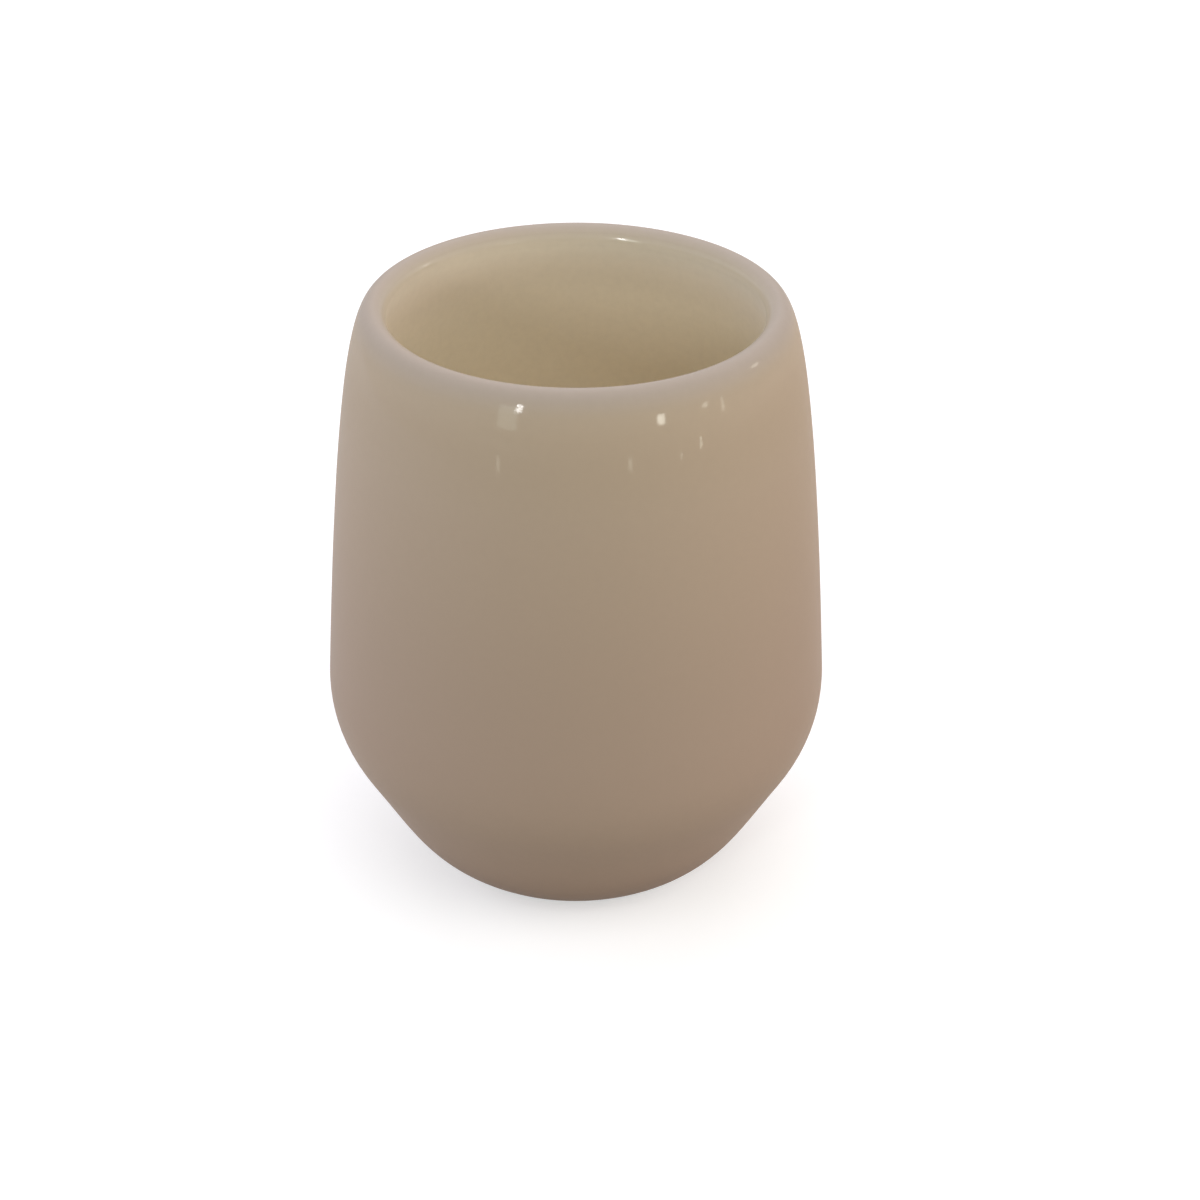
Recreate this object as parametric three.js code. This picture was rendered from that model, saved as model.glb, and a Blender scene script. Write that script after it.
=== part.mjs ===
// Handleless porcelain teacup: a cast body, the glaze fired over it and the glaze in its recessed base.
// Millimetres, +Z up. The cup stands on z = 0 with its axis on Z.
import * as THREE from 'three';

// Body, under the glaze
const HEIGHT = 84.7; // standing face to the crest of the lip
const BELLY_RADIUS = 35; // the widest point
const BELLY_HEIGHT = 28.3;
const BELLY_ROUND = 21.1;
const WALL_LEAN = 3.1; // degrees off upright where the wall leaves the belly
const BELLY_TAPER = 31.6; // degrees off upright where the belly turns in to the foot
const WALL = 3.4; // thickness at the belly
const BASE = 3.6; // thickness between the floor and the recess
const FLOOR_RADIUS = 11; // level middle of the floor

// Lip
const LIP_RADIUS = 27.6; // crest
const LIP_ROUND = 1.7; // inner edge
const MOUTH_LEAN = 13; // degrees off upright where the inside leaves the lip

// Foot
const FOOT_RADIUS = 17.9; // outer edge of the standing face
const FOOT_WIDTH = 3.4; // standing face
const FOOT_SLOPE = 32; // degrees off level where the outside leaves the foot
const RECESS_DEPTH = 2.4;
const RECESS_ROUND = 1;
const RECESS_LEAN = 25; // degrees off upright of the foot ring's inner side

// Glaze
const GLAZE = 0.3; // thickness
const BARE_EDGE = 0.6; // height above the standing face where the glaze stops

// How far each curve of the outline holds the direction of its end
const TAPER_REACH = 11.7; // outside, down from the belly
const FOOT_REACH = 7.1; // outside, up from the foot
const WALL_REACH = 31.9; // outside, up from the belly
const LIP_REACH = 3.4; // outside, out from the crest
const MOUTH_REACH = 17; // inside, down from the lip
const INSIDE_REACH = 17; // inside, up from the belly
const INNER_TAPER_REACH = 8; // inside, down from the belly
const FLOOR_REACH = 9; // inside, out from the floor

// Facets round the axis
const SIDES = 48;

const UP = Math.PI / 2;
const DOWN = -UP;
const OUT = 0;
const IN = Math.PI;
const { degToRad } = THREE.MathUtils;

const porcelain = new THREE.MeshStandardMaterial({ color: 0xd9d0c0, roughness: 0.75, metalness: 0 });
const glaze = new THREE.MeshStandardMaterial({ color: 0xa99a80, roughness: 0.12, metalness: 0 });

// Outlines are lists of (radius, height), and angles turn from outward towards up.
function along(start, length, angle) {
  return new THREE.Vector2(start.x + length * Math.cos(angle), start.y + length * Math.sin(angle));
}

function arc(centre, radius, from, to, steps) {
  const turn = (to - from) / steps;
  return Array.from({ length: steps + 1 }, (_, i) => along(centre, radius, from + turn * i));
}

function sweep(start, startReach, startAngle, end, endReach, endAngle, steps) {
  const startPull = along(start, startReach, startAngle);
  const endPull = along(end, endReach, endAngle);
  return new THREE.CubicBezierCurve(start, startPull, endPull, end).getPoints(steps);
}

function withoutRepeats(outline) {
  return outline.filter((point, i) => i === 0 || point.distanceTo(outline[i - 1]) > 1e-6);
}

// The outline moved out of the solid by a distance, with every straight kept parallel.
function raised(outline, distance) {
  const normals = outline.slice(1).map((point, i) => {
    const run = point.clone().sub(outline[i]).normalize();
    return new THREE.Vector2(run.y, -run.x);
  });
  return outline.map((point, i) => {
    const before = normals[Math.max(i - 1, 0)];
    const after = normals[Math.min(i, normals.length - 1)];
    const mitre = before.clone().add(after).divideScalar(1 + before.dot(after));
    return point.clone().addScaledVector(mitre, distance);
  });
}

// From the axis under the base to the edge of the glaze on the foot ring's inner side.
function recessOutline(footInside) {
  const lean = degToRad(RECESS_LEAN);
  const cornerHeight = RECESS_DEPTH - RECESS_ROUND * (1 - Math.sin(lean));
  const corner = along(footInside, cornerHeight / Math.cos(lean), UP + lean);
  const cornerCentre = along(corner, RECESS_ROUND, IN + lean);
  return [
    new THREE.Vector2(0, RECESS_DEPTH),
    ...arc(cornerCentre, RECESS_ROUND, UP, lean, 3),
    along(footInside, BARE_EDGE / Math.cos(lean), UP + lean),
  ];
}

// From the edge of the glaze at the foot, up the outside, over the lip and down to the middle of the floor.
function cupOutline(footOutside) {
  const slope = degToRad(FOOT_SLOPE);
  const taper = degToRad(BELLY_TAPER);
  const lean = degToRad(WALL_LEAN);
  const mouthLean = degToRad(MOUTH_LEAN);
  const bellyCentre = new THREE.Vector2(BELLY_RADIUS - BELLY_ROUND, BELLY_HEIGHT);
  const belly = arc(bellyCentre, BELLY_ROUND, -taper, lean, 4);
  const innerBelly = arc(bellyCentre, BELLY_ROUND - WALL, lean, -taper, 3);
  const lipCentre = new THREE.Vector2(LIP_RADIUS, HEIGHT - LIP_ROUND);
  const lip = arc(lipCentre, LIP_ROUND, UP, IN + mouthLean, 4);
  const glazeEdge = along(footOutside, BARE_EDGE / Math.sin(slope), slope);
  const floorEdge = new THREE.Vector2(FLOOR_RADIUS, RECESS_DEPTH + BASE);
  return withoutRepeats([
    ...sweep(glazeEdge, FOOT_REACH, slope, belly[0], TAPER_REACH, DOWN - taper, 5),
    ...belly,
    ...sweep(belly.at(-1), WALL_REACH, UP + lean, lip[0], LIP_REACH, OUT, 10),
    ...lip,
    ...sweep(lip.at(-1), MOUTH_REACH, DOWN + mouthLean, innerBelly[0], INSIDE_REACH, UP + lean, 5),
    ...innerBelly,
    ...sweep(innerBelly.at(-1), INNER_TAPER_REACH, DOWN - taper, floorEdge, FLOOR_REACH, OUT, 5),
    new THREE.Vector2(0, floorEdge.y),
  ]);
}

function turned(name, outline, material) {
  const mesh = new THREE.Mesh(new THREE.LatheGeometry(outline, SIDES), material);
  mesh.name = name;
  mesh.rotation.x = UP;
  return mesh;
}

const footInside = new THREE.Vector2(FOOT_RADIUS - FOOT_WIDTH, 0);
const footOutside = new THREE.Vector2(FOOT_RADIUS, 0);
const recess = recessOutline(footInside);
const outline = cupOutline(footOutside);

const cup = new THREE.Group();
cup.add(
  turned('porcelain_body', [...recess, footInside, footOutside, ...outline], porcelain),
  turned('glaze_coat', [...outline.toReversed(), ...raised(outline, GLAZE)], glaze),
  turned('base_glaze', [...raised(recess, GLAZE), ...recess.toReversed()], glaze),
);

export default cup;
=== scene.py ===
"""Looks of a handleless porcelain teacup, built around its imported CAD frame. Metres, +Z up, axis on Z."""

import cmath
import math

import bmesh
import bpy
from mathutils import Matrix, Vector, noise


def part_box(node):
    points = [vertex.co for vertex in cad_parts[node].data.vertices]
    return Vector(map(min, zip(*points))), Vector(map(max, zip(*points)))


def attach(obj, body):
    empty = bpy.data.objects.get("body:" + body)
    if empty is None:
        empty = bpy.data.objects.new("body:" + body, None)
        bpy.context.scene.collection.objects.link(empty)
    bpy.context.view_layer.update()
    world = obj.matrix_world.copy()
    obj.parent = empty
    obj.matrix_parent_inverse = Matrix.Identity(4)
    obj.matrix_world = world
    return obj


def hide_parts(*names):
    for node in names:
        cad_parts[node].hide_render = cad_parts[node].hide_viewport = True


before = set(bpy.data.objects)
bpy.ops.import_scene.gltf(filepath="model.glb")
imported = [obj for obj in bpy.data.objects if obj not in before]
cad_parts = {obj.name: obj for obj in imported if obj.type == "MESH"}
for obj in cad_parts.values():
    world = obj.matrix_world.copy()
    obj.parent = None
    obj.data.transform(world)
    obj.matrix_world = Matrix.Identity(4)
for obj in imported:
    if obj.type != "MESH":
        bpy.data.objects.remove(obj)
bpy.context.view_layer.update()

# Body, under the glaze
BODY_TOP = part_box("porcelain_body")[1]
HEIGHT = BODY_TOP.z
BELLY_RADIUS = BODY_TOP.x
BELLY_HEIGHT = 0.0283
BELLY_ROUND = 0.0211
WALL_LEAN = math.radians(3.1)
BELLY_TAPER = math.radians(31.6)
WALL = 0.0034
BASE = 0.0036
FLOOR_RADIUS = 0.011

# Lip
LIP_RADIUS = 0.0276
LIP_ROUND = 0.0017
MOUTH_LEAN = math.radians(13)

# Foot
FOOT_RADIUS = 0.0179
FOOT_WIDTH = 0.0034
FOOT_SLOPE = math.radians(32)
FOOT_SOFTENING = 0.0004
RECESS_DEPTH = 0.0024
RECESS_ROUND = 0.001
RECESS_LEAN = math.radians(25)

# Glaze
GLAZE = 0.0003
GLAZE_ROLL = 0.0006  # width of its rounded edge
BARE_EDGE = 0.0006

# How far each curve of the outline holds the direction of its end
TAPER_REACH = 0.0117
FOOT_REACH = 0.0071
WALL_REACH = 0.0319
LIP_REACH = 0.0034
MOUTH_REACH = 0.017
INSIDE_REACH = 0.017
INNER_TAPER_REACH = 0.008
FLOOR_REACH = 0.009
CORNER_REACH = 0.55  # share of a corner's size, for a nearly round corner

# Unevenness of the fired surface
RIPPLE_HEIGHT = 0.000012
RIPPLE_LENGTH = 0.009
FINE_RIPPLE_SHARE = 0.5
FINE_RIPPLE_LENGTH = 0.0036

# Fineness of the meshes
SIDES = 144
STEP = 0.0012  # along a curve that has no count of its own
WALL_STEPS = 72
LIP_STEPS = 10
RECESS_STEPS = 6
ROLL_STEPS = 5
CORNER_STEPS = 4
SHARP_EDGE = math.radians(50)
SAME_POINT = 1e-7
ON_AXIS = 1e-6

# Attributes of the glaze: how far over the lip's crest a point lies, less than 0 on the outside,
# and the surface's direction, averaged over the distance that light spreads inside the porcelain
OVER_LIP = "over_lip"
SOFT_NORMAL = "soft_normal"
LIGHT_SPREAD = 0.003

# Glaze colours by that distance, the glaze's warm ivory with painted light in it: the inside of the cup
# painted much lighter for the light that bounces about in it and shines through the wall, the crest paler
# and pinker, a painted darker dip just inside the crest against the light from above, and on the lower
# belly a painted lighter band for the light thrown up by the table, with a painted darker band above it
GLAZE_TONES_AND_PAINTED_LIGHT = {
    -0.085: (0.42, 0.31, 0.225),
    # painted lighter band for the light thrown up by the table
    -0.068: (0.435, 0.335, 0.245),
    # painted darker band above it, for shade
    -0.055: (0.38, 0.29, 0.215),
    -0.020: (0.41, 0.325, 0.235),
    -0.004: (0.415, 0.335, 0.245),
    0.000: (0.48, 0.41, 0.355),
    # painted darker dip against the light from above on the lip's inner rounding
    0.002: (0.445, 0.375, 0.285),
    # from here inward painted lighter for the light that bounces about in the cup and shines through its wall
    0.0035: (0.61, 0.53, 0.405),
    0.006: (0.635, 0.55, 0.42),
    0.012: (0.76, 0.67, 0.51),
    0.025: (0.84, 0.74, 0.56),
    0.110: (0.84, 0.74, 0.56),
}
GLAZE_GRAIN = (0.31, 0.25, 0.19)
GLAZE_GRAIN_SHARE = 0.06

# Gloss of the glaze, and of the band inside the lip where it gathers, placed by distance past the crest
GLOSS = 0.15
GLOSS_ROUGHNESS = 0.06
GATHERED_GLOSS = 0.45
GATHERED_ROUGHNESS = 0.14
BAND_RISES = (0.0008, 0.0018)
BAND_FADES = (0.0027, 0.0031)

# Bare porcelain of the foot ring
PORCELAIN = (0.66, 0.6, 0.5)
PORCELAIN_WORN = (0.5, 0.43, 0.34)
PORCELAIN_WORN_SHARE = 0.6
PORCELAIN_GRAIN = (0.42, 0.36, 0.29)
PORCELAIN_GRAIN_SHARE = 0.35

# Stage
WHITE = (1, 1, 1, 1)
FLOOR_REACHES = 6.0
FLOOR_SEEN = (0.6, 0.6, 0.6, 1)
FLOOR_BOUNCE = (0.30, 0.25, 0.24, 1)
FLOOR_GLOW = (0.5, 0.75)  # near the cup and far from it
FLOOR_GLOW_AT = (0.2, 1.0)
WORLD_LIGHT = 0.45
LAMPS_AIM = Vector((0, 0, 0.07))

# Lamps: degrees to the camera's right, degrees up, distance, width, height, radiance, colour
GLINT_LAMPS = {
    "key": (-28, 17, 1.2, 0.065, 0.22, 44, (1.0, 1.0, 1.0)),
    "key_glow": (-33, 9.5, 1.2, 0.2, 0.36, 4, (0.9, 1.0, 0.88)),
    "fill": (41, 4.2, 1.2, 0.08, 0.12, 26, (1.0, 1.0, 0.9)),
    "right_spot": (65, 3.6, 1.2, 0.06, 0.06, 10, (1.0, 1.0, 0.85)),
    "right_strip": (75, 0, 1.2, 0.03, 0.14, 8, (1.0, 1.0, 0.85)),
    "far_right_spot": (102, 12, 1.2, 0.1, 0.1, 10, (1.0, 0.95, 0.8)),
    "low_left": (-35, -7, 0.3, 0.008, 0.014, 5, (1.0, 1.0, 0.85)),
    "low_middle": (24, -6, 0.3, 0.01, 0.012, 6, (1.0, 1.0, 0.85)),
    "low_right": (48, -7, 0.3, 0.006, 0.006, 7, (1.0, 1.0, 0.85)),
    "low_far_right": (58.5, -6.2, 0.3, 0.007, 0.012, 14, (1.0, 1.0, 0.85)),
}
SOFTBOXES = {
    "front_top": (0, 60, 1.0, 0.6, 0.5, 1.8, (1.0, 1.0, 0.93)),
    "front_right": (45, 45, 1.0, 0.6, 0.5, 1.3, (1.0, 1.0, 0.97)),
    "right": (70, 20, 1.0, 0.6, 0.6, 1.35, (1.0, 0.95, 0.87)),
    "right_low": (100, 12, 0.6, 0.6, 0.25, 2.7, (1.0, 0.85, 0.84)),
    "left": (-80, 16, 0.4, 0.3, 0.2, 0.6, (0.85, 0.9, 1.0)),
    "left_low": (-105, 8, 0.37, 0.5, 0.15, 3.5, (0.73, 0.78, 1.0)),
    "back": (180, 50, 1.0, 1.2, 1.0, 0.9, (1.0, 0.92, 1.0)),
}

# Camera, with its lens and sensor in millimetres
CAMERA_PLACE = (0, -0.3713, 0.2477)
CAMERA_LOOKS_DOWN = 29.35
CAMERA_LENS = 90
CAMERA_SENSOR = 36
CAMERA_SHIFT = 0.02

UP = math.pi / 2
DOWN = -UP
OUT = 0
IN = math.pi


# Outlines are lists of complex numbers, radius + height j, and angles turn from outward towards up.
def along(start, length, angle):
    return start + cmath.rect(length, angle)


def arc(centre, radius, start, end, steps=None):
    steps = steps or math.ceil(abs(end - start) * radius / STEP)
    return [along(centre, radius, start + (end - start) * i / steps) for i in range(steps + 1)]


def sweep(start, start_reach, start_angle, end, end_reach, end_angle, steps=None):
    steps = steps or math.ceil(abs(end - start) / STEP)
    start_pull = along(start, start_reach, start_angle)
    end_pull = along(end, end_reach, end_angle)
    points = []
    for i in range(steps + 1):
        t = i / steps
        s = 1 - t
        points.append(s**3 * start + 3 * s * s * t * start_pull + 3 * s * t * t * end_pull + t**3 * end)
    return points


def straight(start, end):
    steps = math.ceil(abs(end - start) / STEP)
    return [start + (end - start) * i / steps for i in range(steps + 1)]


def without_repeats(outline):
    return [p for i, p in enumerate(outline) if i == 0 or abs(p - outline[i - 1]) > SAME_POINT]


def soft_corner(before, corner, after, size):
    """The corner of an outline, rounded over that size."""
    inwards = corner - before
    outwards = after - corner
    start = corner - inwards / abs(inwards) * size
    end = corner + outwards / abs(outwards) * size
    pull = size * CORNER_REACH
    return sweep(start, pull, cmath.phase(inwards), end, pull, cmath.phase(-outwards), CORNER_STEPS)


def raised(outline, distance):
    """The outline moved out of the solid by a distance."""
    moved = []
    for i, point in enumerate(outline):
        run = outline[min(i + 1, len(outline) - 1)] - outline[max(i - 1, 0)]
        moved.append(point - 1j * run / abs(run) * distance)
    return moved


def rolled_edge(outline):
    """The rounded edge with which the glaze starts at the first point of an outline."""
    run = outline[1] - outline[0]
    run /= abs(run)
    edge = []
    for i in range(ROLL_STEPS + 1):
        angle = UP * i / ROLL_STEPS
        inwards = run * GLAZE_ROLL * (1 - math.cos(angle))
        outwards = -1j * run * GLAZE * math.sin(angle)
        edge.append(outline[0] + inwards + outwards)
    return edge


def recess_outline(foot_inside):
    """From the axis under the base to the edge of the glaze on the foot ring's inner side."""
    corner_height = RECESS_DEPTH - RECESS_ROUND * (1 - math.sin(RECESS_LEAN))
    corner = along(foot_inside, corner_height / math.cos(RECESS_LEAN), UP + RECESS_LEAN)
    corner_centre = along(corner, RECESS_ROUND, IN + RECESS_LEAN)
    rounding = arc(corner_centre, RECESS_ROUND, UP, RECESS_LEAN, RECESS_STEPS)
    glaze_edge = along(foot_inside, BARE_EDGE / math.cos(RECESS_LEAN), UP + RECESS_LEAN)
    return without_repeats([*straight(RECESS_DEPTH * 1j, rounding[0]), *rounding, glaze_edge])


def cup_outline(foot_outside):
    """From the glaze's edge at the foot, up the outside, over the lip and down to the middle of the floor."""
    belly_centre = complex(BELLY_RADIUS - BELLY_ROUND, BELLY_HEIGHT)
    belly = arc(belly_centre, BELLY_ROUND, -BELLY_TAPER, WALL_LEAN)
    inner_belly = arc(belly_centre, BELLY_ROUND - WALL, WALL_LEAN, -BELLY_TAPER)
    lip_centre = complex(LIP_RADIUS, HEIGHT - LIP_ROUND)
    lip = arc(lip_centre, LIP_ROUND, UP, IN + MOUTH_LEAN, LIP_STEPS)
    glaze_edge = along(foot_outside, BARE_EDGE / math.sin(FOOT_SLOPE), FOOT_SLOPE)
    floor_edge = complex(FLOOR_RADIUS, RECESS_DEPTH + BASE)
    return without_repeats([
        *sweep(glaze_edge, FOOT_REACH, FOOT_SLOPE, belly[0], TAPER_REACH, DOWN - BELLY_TAPER),
        *belly,
        *sweep(belly[-1], WALL_REACH, UP + WALL_LEAN, lip[0], LIP_REACH, OUT, WALL_STEPS),
        *lip,
        *sweep(lip[-1], MOUTH_REACH, DOWN + MOUTH_LEAN, inner_belly[0], INSIDE_REACH, UP + WALL_LEAN),
        *inner_belly,
        *sweep(inner_belly[-1], INNER_TAPER_REACH, DOWN - BELLY_TAPER, floor_edge, FLOOR_REACH, OUT),
        *straight(floor_edge, floor_edge.imag * 1j),
    ])


def over_crest(outline):
    """How far along the outline each point lies past its highest one."""
    runs = [0]
    for start, end in zip(outline, outline[1:]):
        runs.append(runs[-1] + abs(end - start))
    crest = max(range(len(outline)), key=lambda i: outline[i].imag)
    return [run - runs[crest] for run in runs]


def soft_directions(outline):
    """The direction out of the solid at each point, averaged over the spread of light."""
    middles = [(start + end) / 2 for start, end in zip(outline, outline[1:])]
    runs = [end - start for start, end in zip(outline, outline[1:])]
    directions = []
    for point in outline:
        weights = [math.exp(-0.5 * (abs(point - middle) / LIGHT_SPREAD) ** 2) for middle in middles]
        total = sum(-1j * run * weight for run, weight in zip(runs, weights))
        directions.append(total / abs(total))
    return directions


# Meshes
def ring(value):
    """An outline's point or direction, turned about the axis to every side."""
    turns = [2 * math.pi * i / SIDES for i in range(SIDES)]
    return [(value.real * math.cos(a), value.real * math.sin(a), value.imag) for a in turns]


def on_axis(point):
    return point.real < ON_AXIS


def turned_mesh(name, outline):
    """The closed outline turned about the axis."""
    mesh = bpy.data.meshes.new(name)
    bm = bmesh.new()
    rings = []
    for point in outline:
        if on_axis(point):
            rings.append([bm.verts.new((0, 0, point.imag))] * SIDES)
        else:
            rings.append([bm.verts.new(place) for place in ring(point)])
    for lower, upper in zip(rings, rings[1:]):
        for i in range(SIDES):
            j = (i + 1) % SIDES
            corners = [lower[i], lower[j], upper[j], upper[i]]
            bm.faces.new(dict.fromkeys(corners))
    bm.normal_update()
    bm.to_mesh(mesh)
    bm.free()
    mesh.shade_smooth()
    mesh.set_sharp_from_angle(angle=SHARP_EDGE)
    return mesh


def fine_piece(name, outline, material):
    """A turned mesh that stands for the CAD node of its name."""
    mesh = turned_mesh(name, outline)
    mesh.materials.append(material)
    piece = bpy.data.objects.new(name + "_fine", mesh)
    bpy.context.scene.collection.objects.link(piece)
    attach(piece, "root")
    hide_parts(name)
    return piece


def mark_glaze(piece, outline, over_lip, directions):
    """Writes the glaze's attributes to the points that the outline became."""
    distances = []
    vectors = []
    for point, distance, direction in zip(outline, over_lip, directions):
        if on_axis(point):
            turned = [(0, 0, math.copysign(1, direction.imag))]
        else:
            turned = ring(direction)
        distances.extend([distance] * len(turned))
        for vector in turned:
            vectors.extend(vector)
    attributes = piece.data.attributes
    attributes.new(OVER_LIP, "FLOAT", "POINT").data.foreach_set("value", distances)
    attributes.new(SOFT_NORMAL, "FLOAT_VECTOR", "POINT").data.foreach_set("vector", vectors)


def ripple(piece):
    """Uneven flow of the glaze: the surface rises and falls a little along its normals."""
    places = [vertex.co.copy() for vertex in piece.data.vertices]
    normals = [vertex.normal.copy() for vertex in piece.data.vertices]
    moved = []
    for place, normal in zip(places, normals):
        fine = noise.noise(place / FINE_RIPPLE_LENGTH)
        rise = noise.noise(place / RIPPLE_LENGTH) + FINE_RIPPLE_SHARE * fine
        moved.extend(place + normal * RIPPLE_HEIGHT * rise)
    piece.data.vertices.foreach_set("co", moved)
    piece.data.update()


# Nodes
def add(tree, kind, settings=None, **sockets):
    """A node with its settings and its sockets' values or links, where _ in a name stands for a space."""
    made = tree.nodes.new(kind)
    for key, value in (settings or {}).items():
        setattr(made, key, value)
    for key, value in sockets.items():
        fill(tree, made.inputs[key.replace("_", " ")], value)
    return made


def fill(tree, socket, value):
    if isinstance(value, bpy.types.NodeSocket):
        tree.links.new(value, socket)
    else:
        socket.default_value = value


def attribute(tree, name):
    return add(tree, "ShaderNodeAttribute", {"attribute_name": name})


def noise_value(tree, place, scale, detail, roughness):
    sockets = {"Vector": place, "Scale": scale, "Detail": detail, "Roughness": roughness}
    return add(tree, "ShaderNodeTexNoise", **sockets).outputs["Fac"]


def mapped(tree, value, span, results):
    """The value carried from one span to another, and held at its ends."""
    sockets = dict(zip(("From_Min", "From_Max", "To_Min", "To_Max"), (*span, *results)))
    return add(tree, "ShaderNodeMapRange", Value=value, **sockets).outputs["Result"]


def mixed(tree, factor, base, other):
    """Two colours mixed, of which the base may come from another node."""
    made = add(tree, "ShaderNodeMix", {"data_type": "RGBA"}, Factor=factor)
    base_socket, other_socket, result = made.inputs[6], made.inputs[7], made.outputs[2]
    fill(tree, base_socket, base if isinstance(base, bpy.types.NodeSocket) else (*base, 1))
    fill(tree, other_socket, (*other, 1))
    return result


def ramp(tree, value, tones):
    """A smooth run of colours, each at its own value."""
    low, high = min(tones), max(tones)
    made = add(tree, "ShaderNodeValToRGB", Fac=mapped(tree, value, (low, high), (0, 1)))
    stops = made.color_ramp.elements
    made.color_ramp.interpolation = "CARDINAL"
    for at, colour in tones.items():
        place = (at - low) / (high - low)
        stop = stops[0] if at == low else stops[-1] if at == high else stops.new(place)
        stop.color = (*colour, 1)
    return made.outputs["Color"]


# Materials
def new_material(name):
    material = bpy.data.materials.new(name)
    material.use_nodes = True
    material.node_tree.nodes.clear()
    tree = material.node_tree
    return material, tree, add(tree, "ShaderNodeOutputMaterial")


def inside_lip(tree, over_lip, elsewhere, there):
    """A value that differs on the lip's inner side, where the glaze gathers."""
    below = mapped(tree, over_lip, BAND_FADES, (there, elsewhere))
    return mapped(tree, over_lip, BAND_RISES, (elsewhere, below))


def glaze_material():
    material, tree, output = new_material("ivory_glaze")
    place = add(tree, "ShaderNodeTexCoord").outputs["Object"]
    clouds = noise_value(tree, place, scale=60, detail=3, roughness=0.5)
    grain = noise_value(tree, place, scale=900, detail=2, roughness=0.6)
    peel = noise_value(tree, place, scale=330, detail=2, roughness=0.45)
    over_lip = attribute(tree, OVER_LIP).outputs["Fac"]
    # The glaze's colour with painted light: lighter inside the cup, a darker dip on the lip's inner rounding,
    # and lighter and darker bands on the lower belly
    tone_with_painted_light = ramp(tree, over_lip, GLAZE_TONES_AND_PAINTED_LIGHT)
    grainy = mixed(tree, mapped(tree, grain, (0.35, 0.75), (0, GLAZE_GRAIN_SHARE)), tone_with_painted_light, GLAZE_GRAIN)
    turn = {"vector_type": "NORMAL", "convert_from": "OBJECT", "convert_to": "WORLD"}
    soft = attribute(tree, SOFT_NORMAL).outputs["Vector"]
    soft = add(tree, "ShaderNodeVectorTransform", turn, Vector=soft).outputs["Vector"]
    bump = add(tree, "ShaderNodeBump", Height=peel, Strength=0.1, Distance=0.00003, Normal=soft)
    shader = add(
        tree, "ShaderNodeBsdfPrincipled",
        Base_Color=grainy, Roughness=mapped(tree, clouds, (0.3, 0.7), (0.16, 0.24)), IOR=1.5,
        Normal=bump.outputs["Normal"], Specular_IOR_Level=0, Coat_IOR=1.8,
        Coat_Weight=inside_lip(tree, over_lip, GLOSS, GATHERED_GLOSS),
        Coat_Roughness=inside_lip(tree, over_lip, GLOSS_ROUGHNESS, GATHERED_ROUGHNESS),
    )
    tree.links.new(shader.outputs["BSDF"], output.inputs["Surface"])
    return material


def porcelain_material():
    material, tree, output = new_material("bare_porcelain")
    place = add(tree, "ShaderNodeTexCoord").outputs["Object"]
    grain = noise_value(tree, place, scale=2600, detail=4, roughness=0.65)
    wear = noise_value(tree, place, scale=140, detail=4, roughness=0.6)
    worn_share = mapped(tree, wear, (0.42, 0.7), (0, PORCELAIN_WORN_SHARE))
    worn = mixed(tree, worn_share, PORCELAIN, PORCELAIN_WORN)
    grain_share = mapped(tree, grain, (0.4, 0.7), (0, PORCELAIN_GRAIN_SHARE))
    grainy = mixed(tree, grain_share, worn, PORCELAIN_GRAIN)
    bump = add(tree, "ShaderNodeBump", Height=grain, Strength=0.5, Distance=0.00006)
    shader = add(
        tree, "ShaderNodeBsdfPrincipled",
        Base_Color=grainy, Roughness=mapped(tree, grain, (0.3, 0.7), (0.7, 0.9)),
        Normal=bump.outputs["Normal"], Specular_IOR_Level=0.2,
    )
    tree.links.new(shader.outputs["BSDF"], output.inputs["Surface"])
    return material


def floor_material():
    """White to the camera and in reflections, and a grey table to the light that it throws on the cup."""
    material, tree, output = new_material("studio_floor")
    path = add(tree, "ShaderNodeLightPath")
    place = add(tree, "ShaderNodeTexCoord").outputs["Object"]
    far = add(tree, "ShaderNodeVectorMath", {"operation": "LENGTH"}, Vector=place).outputs["Value"]
    lit = add(tree, "ShaderNodeBsdfDiffuse", Color=FLOOR_SEEN)
    glow_strength = mapped(tree, far, FLOOR_GLOW_AT, FLOOR_GLOW)
    glow = add(tree, "ShaderNodeEmission", Color=WHITE, Strength=glow_strength)
    white = add(tree, "ShaderNodeAddShader")
    tree.links.new(lit.outputs["BSDF"], white.inputs[0])
    tree.links.new(glow.outputs["Emission"], white.inputs[1])
    grey = add(tree, "ShaderNodeBsdfDiffuse", Color=FLOOR_BOUNCE)
    shader = add(tree, "ShaderNodeMixShader", Fac=path.outputs["Is Diffuse Ray"])
    tree.links.new(white.outputs["Shader"], shader.inputs[1])
    tree.links.new(grey.outputs["BSDF"], shader.inputs[2])
    tree.links.new(shader.outputs["Shader"], output.inputs["Surface"])
    return material


# Studio
def studio_floor():
    mesh = bpy.data.meshes.new("studio_floor")
    r = FLOOR_REACHES
    mesh.from_pydata([(-r, -r, 0), (r, -r, 0), (r, r, 0), (-r, r, 0)], [], [(0, 1, 2, 3)])
    mesh.materials.append(floor_material())
    floor = bpy.data.objects.new("studio_floor", mesh)
    bpy.context.scene.collection.objects.link(floor)


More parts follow.
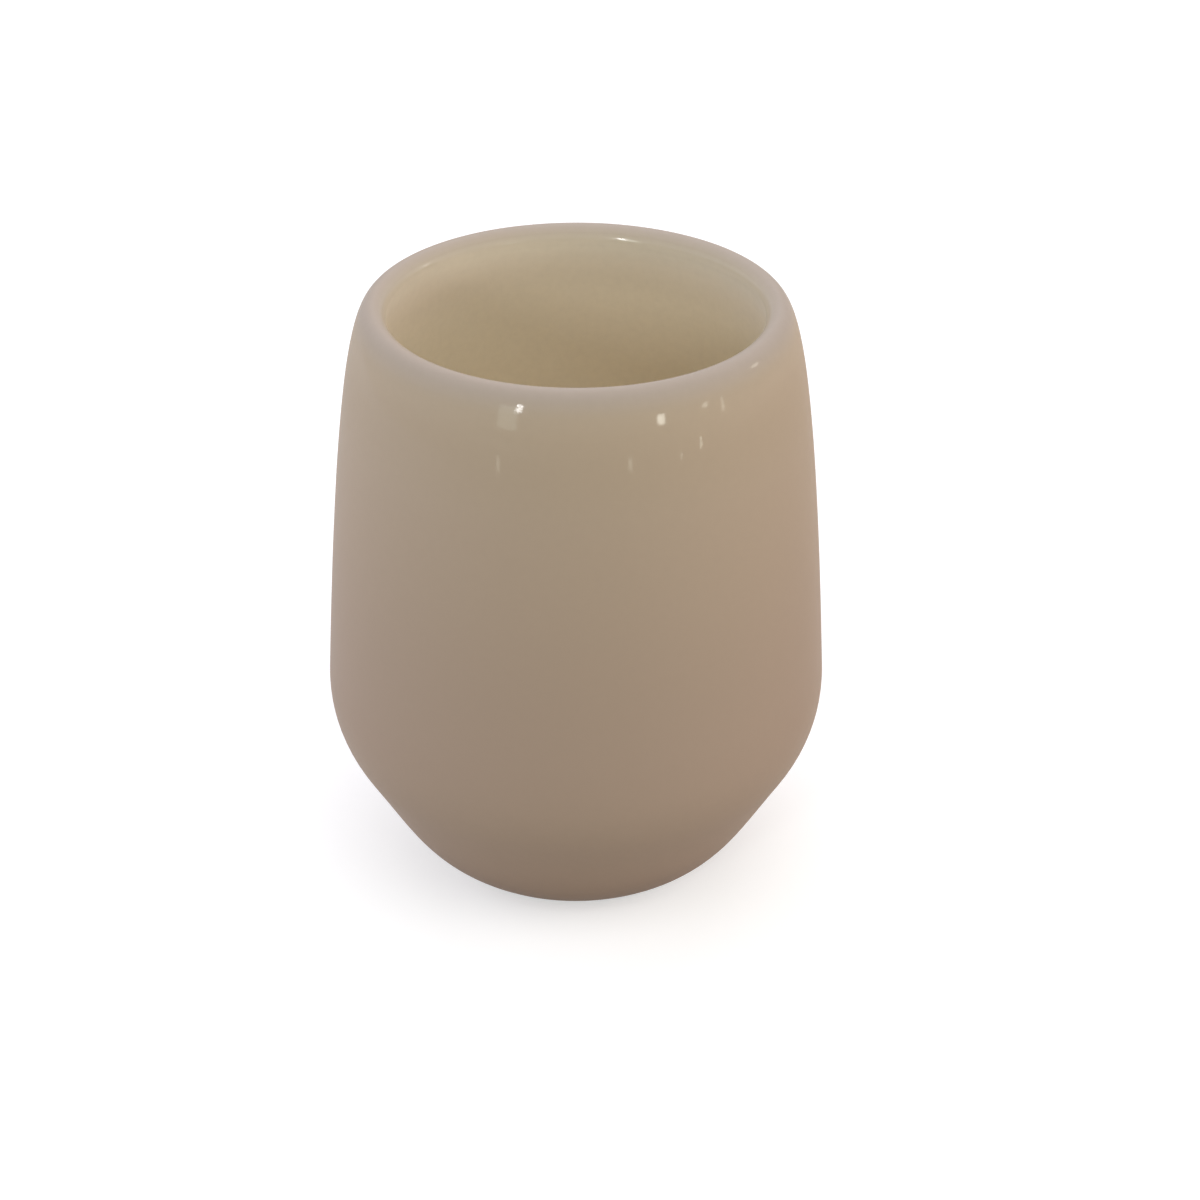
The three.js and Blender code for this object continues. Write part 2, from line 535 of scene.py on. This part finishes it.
def studio_world():
    """White where it is seen, itself or mirrored, and a weaker light on everything else."""
    world = bpy.data.worlds.new("studio")
    world.use_nodes = True
    tree = world.node_tree
    tree.nodes.clear()
    path = add(tree, "ShaderNodeLightPath")
    seen = path.outputs["Is Camera Ray"]
    for kind in ("Is Glossy Ray", "Is Transmission Ray"):
        either = add(tree, "ShaderNodeMath", {"operation": "MAXIMUM"})
        tree.links.new(seen, either.inputs[0])
        tree.links.new(path.outputs[kind], either.inputs[1])
        seen = either.outputs["Value"]
    light = add(tree, "ShaderNodeBackground", Color=WHITE, Strength=WORLD_LIGHT)
    white = add(tree, "ShaderNodeBackground", Color=WHITE, Strength=1)
    mix = add(tree, "ShaderNodeMixShader", Fac=seen)
    tree.links.new(light.outputs["Background"], mix.inputs[1])
    tree.links.new(white.outputs["Background"], mix.inputs[2])
    output = add(tree, "ShaderNodeOutputWorld")
    tree.links.new(mix.outputs["Shader"], output.inputs["Surface"])
    bpy.context.scene.world = world


def lamp(name, azimuth, elevation, distance, width, height, radiance, colour):
    data = bpy.data.lights.new(name, "AREA")
    data.shape = "RECTANGLE"
    data.size = width
    data.size_y = height
    data.energy = radiance * math.pi * width * height
    data.color = colour
    a = math.radians(azimuth)
    e = math.radians(elevation)
    towards = Vector((math.sin(a) * math.cos(e), -math.cos(a) * math.cos(e), math.sin(e)))
    light = bpy.data.objects.new(name, data)
    light.location = LAMPS_AIM + towards * distance
    light.rotation_euler = towards.to_track_quat("Z", "Y").to_euler()
    light.visible_camera = False
    bpy.context.scene.collection.objects.link(light)
    return light


def photo_camera():
    data = bpy.data.cameras.new("camera")
    data.sensor_width = CAMERA_SENSOR
    data.lens = CAMERA_LENS
    data.shift_x = CAMERA_SHIFT
    camera = bpy.data.objects.new("camera", data)
    camera.location = CAMERA_PLACE
    camera.rotation_euler = (math.radians(90 - CAMERA_LOOKS_DOWN), 0, 0)
    bpy.context.scene.collection.objects.link(camera)
    bpy.context.scene.camera = camera


# Cup
glaze = glaze_material()
porcelain = porcelain_material()
foot_inside = complex(FOOT_RADIUS - FOOT_WIDTH, 0)
foot_outside = complex(FOOT_RADIUS, 0)
recess = recess_outline(foot_inside)
outline = cup_outline(foot_outside)
foot = [
    *soft_corner(recess[-1], foot_inside, foot_outside, FOOT_SOFTENING),
    *soft_corner(foot_inside, foot_outside, outline[0], FOOT_SOFTENING),
]
fine_piece("porcelain_body", [*recess, *foot, *outline], porcelain)

coat_outside = [*rolled_edge(outline), *raised(outline, GLAZE)[1:]]
coat_outline = [*reversed(outline), *coat_outside[1:]]
coat = fine_piece("glaze_coat", coat_outline, glaze)
coat_over_lip = [*reversed(over_crest(outline)), *over_crest(coat_outside)[1:]]
coat_directions = [*reversed(soft_directions(outline)), *soft_directions(coat_outside)[1:]]
mark_glaze(coat, coat_outline, coat_over_lip, coat_directions)
ripple(coat)

base_outside = raised(recess, GLAZE)
base_outline = [*base_outside, *reversed(recess)]
base = fine_piece("base_glaze", base_outline, glaze)
base_over_lip = [min(GLAZE_TONES_AND_PAINTED_LIGHT)] * len(base_outline)
base_directions = [*soft_directions(base_outside), *reversed(soft_directions(recess))]
mark_glaze(base, base_outline, base_over_lip, base_directions)

# Scene
studio_floor()
studio_world()
for name, place in GLINT_LAMPS.items():
    lamp(name, *place)
for name, place in SOFTBOXES.items():
    lamp(name, *place).visible_glossy = False
photo_camera()
bpy.context.scene.view_settings.view_transform = "Standard"
